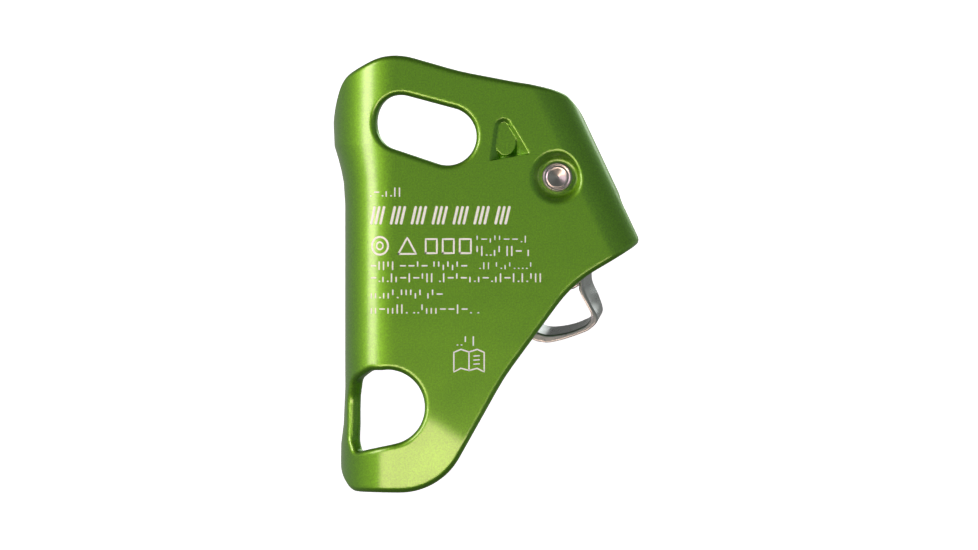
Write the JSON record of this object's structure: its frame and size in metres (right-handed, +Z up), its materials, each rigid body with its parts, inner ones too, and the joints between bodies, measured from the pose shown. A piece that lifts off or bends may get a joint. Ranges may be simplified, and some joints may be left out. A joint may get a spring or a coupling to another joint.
{
  "type": "chest ascender",
  "caption": "Chest ascender for rope: folded aluminium frame with rope channel, toothed cam on an axle, finger trigger and two connector eyes.",
  "frame": {"origin": "centre of the lower eye on the outer face of the back plate", "axes": "+X from the rope channel towards the cam axle, +Y through the plate into the channel, +Z up along the rope"},
  "size_m": [0.0839, 0.0266, 0.1189],
  "materials": {
    "frame_anodised": "satin green anodised, fine blasted grain",
    "axle_stainless": "turned stainless",
    "bearing_plastic": "matte acetal",
    "cam_steel": "cast stainless, tumbled",
    "bush_bronze": "sintered bronze",
    "spring_steel": "drawn spring wire",
    "trigger_stainless": "tumbled stainless strip"
  },
  "bodies": {
    "frame_body": {"frame": "frame_anodised", "cam_axle": "axle_stainless", "axle_washer": "axle_stainless", "rear_thrust_washer": "bearing_plastic", "front_thrust_washer": "bearing_plastic"},
    "cam_body": {"cam": "cam_steel", "cam_bush": "bush_bronze", "cam_spring": "spring_steel", "trigger_pin": "axle_stainless", "trigger_rear_washer": "axle_stainless", "trigger_front_washer": "axle_stainless", "trigger_stop_pin": "axle_stainless"},
    "trigger_body": {"trigger": "trigger_stainless", "trigger_spring": "spring_steel"}
  },
  "joints": [
    {"name": "cam_pivot", "type": "hinge", "parent": "frame_body", "child": "cam_body", "pos_m": [0.0462, 0.012, 0.0622], "axis": [0, -1, 0], "range_deg": [0, 42], "stiffness_Nm_per_rad": 0.06, "springref_deg": -85.94, "deforming": ["cam_spring"]},
    {"name": "trigger_pivot", "type": "hinge", "parent": "cam_body", "child": "trigger_body", "pos_m": [0.0429, 0.01335, 0.0354], "axis": [0, -1, 0], "range_deg": [0, 20], "stiffness_Nm_per_rad": 0.01, "springref_deg": -57.3, "deforming": ["trigger_spring"]}
  ]
}
